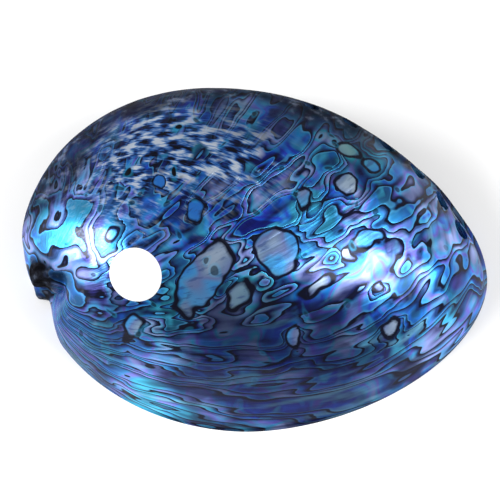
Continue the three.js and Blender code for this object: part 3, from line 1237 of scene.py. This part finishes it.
@dataclass
class Label:
    """The round paper label, die cut and pressed onto the shell."""

    shell: bpy.types.Object
    diameter: float = 15.4
    thickness: float = 0.12
    lift: float = 0.06
    segments: int = 72
    rings: int = 10

    def build(self, material: bpy.types.Material) -> bpy.types.Object:
        """Builds the label on the shell's own surface.

        Args:
            material: its finish.

        Returns:
            The finished piece.
        """
        low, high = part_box("sticker")
        centre = (low + high) / (2 * MM)
        tree = BVHTree.FromObject(self.shell, bpy.context.evaluated_depsgraph_get())
        _, normal, _, _ = tree.find_nearest(centre * MM)
        place = normal.to_track_quat("Z", "Y").to_matrix().to_4x4()
        place.translation = centre
        bm = bmesh.new()
        radius = self.diameter / 2
        bmesh.ops.create_circle(bm, cap_ends=True, cap_tris=True, segments=self.segments, radius=radius)
        spokes = [edge for edge in bm.edges if min(vert.co.length for vert in edge.verts) < 1e-4]
        bmesh.ops.subdivide_edges(bm, edges=spokes, cuts=self.rings, use_grid_fill=True)
        bmesh.ops.transform(bm, matrix=place, verts=bm.verts[:])
        for vert in bm.verts:
            start = (vert.co + normal * 12) * MM
            landing, _, _, _ = tree.ray_cast(start, -normal)
            vert.co = landing / MM + normal * (self.lift + self.thickness)
        bmesh.ops.solidify(bm, geom=bm.faces[:], thickness=self.thickness)
        bmesh.ops.recalc_face_normals(bm, faces=bm.faces[:])
        return finish_piece("paper_label", bm, material)


# ---------------------------------------------------------------------------------------------
# Studio
# ---------------------------------------------------------------------------------------------


@dataclass(frozen=True)
class Camera:
    """A long lens that looks steeply down on the shell."""

    azimuth: float = 4.4
    elevation: float = 73.3
    distance: float = 620.0
    lens: float = 152.7
    target: tuple[float, float, float] = (-1.8, 0.1, 14.0)

    def build(self) -> None:
        """Makes the camera and gives it to the scene."""
        turn = math.radians(self.azimuth)
        tilt = math.radians(self.elevation)
        back = Vector(
            (math.sin(turn) * math.cos(tilt), -math.cos(turn) * math.cos(tilt), math.sin(tilt))
        )
        camera = bpy.data.cameras.new("camera")
        camera.lens = self.lens
        camera.sensor_width = 36.0
        camera.clip_end = 20
        seat = bpy.data.objects.new("camera", camera)
        seat.location = (Vector(self.target) + back * self.distance) * MM
        seat.rotation_euler = back.to_track_quat("Z", "Y").to_euler()
        bpy.context.scene.collection.objects.link(seat)
        bpy.context.scene.camera = seat


@dataclass(frozen=True)
class Softbox:
    """One rectangular area light aimed at the shell."""

    name: str
    azimuth: float
    elevation: float
    distance: float
    size: tuple[float, float]
    watts: float
    tint: str = "#ffffff"

    def build(self) -> None:
        """Makes the light."""
        turn = math.radians(self.azimuth)
        tilt = math.radians(self.elevation)
        way = Vector((math.cos(turn) * math.cos(tilt), math.sin(turn) * math.cos(tilt), math.sin(tilt)))
        lamp = bpy.data.lights.new(self.name, "AREA")
        lamp.shape = "RECTANGLE"
        lamp.size, lamp.size_y = self.size[0] * MM, self.size[1] * MM
        lamp.energy = self.watts
        lamp.color = srgb(self.tint)[:3]
        holder = bpy.data.objects.new(self.name, lamp)
        holder.location = (Vector((0, 0, 15)) + way * self.distance) * MM
        holder.rotation_euler = way.to_track_quat("Z", "Y").to_euler()
        bpy.context.scene.collection.objects.link(holder)


@dataclass(frozen=True)
class Studio:
    """Floor, world and lights."""

    floor_half: float = 3000.0
    world_tone: str = "#ffffff"
    world_strength: float = 0.42
    lights: tuple[Softbox, ...] = (
        Softbox("key_left", 189, 32, 900, (560, 320), 10),
        Softbox("fill_right", -6, 34, 1000, (720, 640), 9.5),
    )

    def build(self) -> None:
        """Makes the floor, the world and the lights."""
        bm = bmesh.new()
        bmesh.ops.create_grid(bm, x_segments=1, y_segments=1, size=self.floor_half)
        finish_piece("floor", bm, StudioPaper().build())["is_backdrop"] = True
        world = bpy.data.worlds.new("studio")
        world.use_nodes = True
        background = world.node_tree.nodes["Background"]
        background.inputs["Color"].default_value = srgb(self.world_tone)
        background.inputs["Strength"].default_value = self.world_strength
        bpy.context.scene.world = world
        bpy.context.scene.view_settings.view_transform = "Standard"
        for light in self.lights:
            light.build()


def main() -> None:
    """Builds the shell, its label and the studio, in order."""
    logging.basicConfig(level=logging.INFO, format="%(name)s: %(message)s")
    low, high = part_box("shell")
    size = (high - low) / MM
    form = DomeForm(length=size.x / LENGTH_SHARE, width=size.y / WIDTH_SHARE, height=size.z)
    shell = Shell(form).build(PolishedNacre().build())
    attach(shell, "root")
    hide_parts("shell")
    label = Label(shell).build(LabelPaper().build())
    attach(label, "root")
    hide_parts("sticker")
    for piece in (shell, label):
        log.info("%s: %d faces", piece.name, len(piece.data.polygons))
    Studio().build()
    Camera().build()
    boxes = {"cad": CAD_BOX, "visual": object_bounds()}
    {key: [list(corner) for corner in box] for key, box in boxes.items()}


if __name__ == "__main__":
    main()
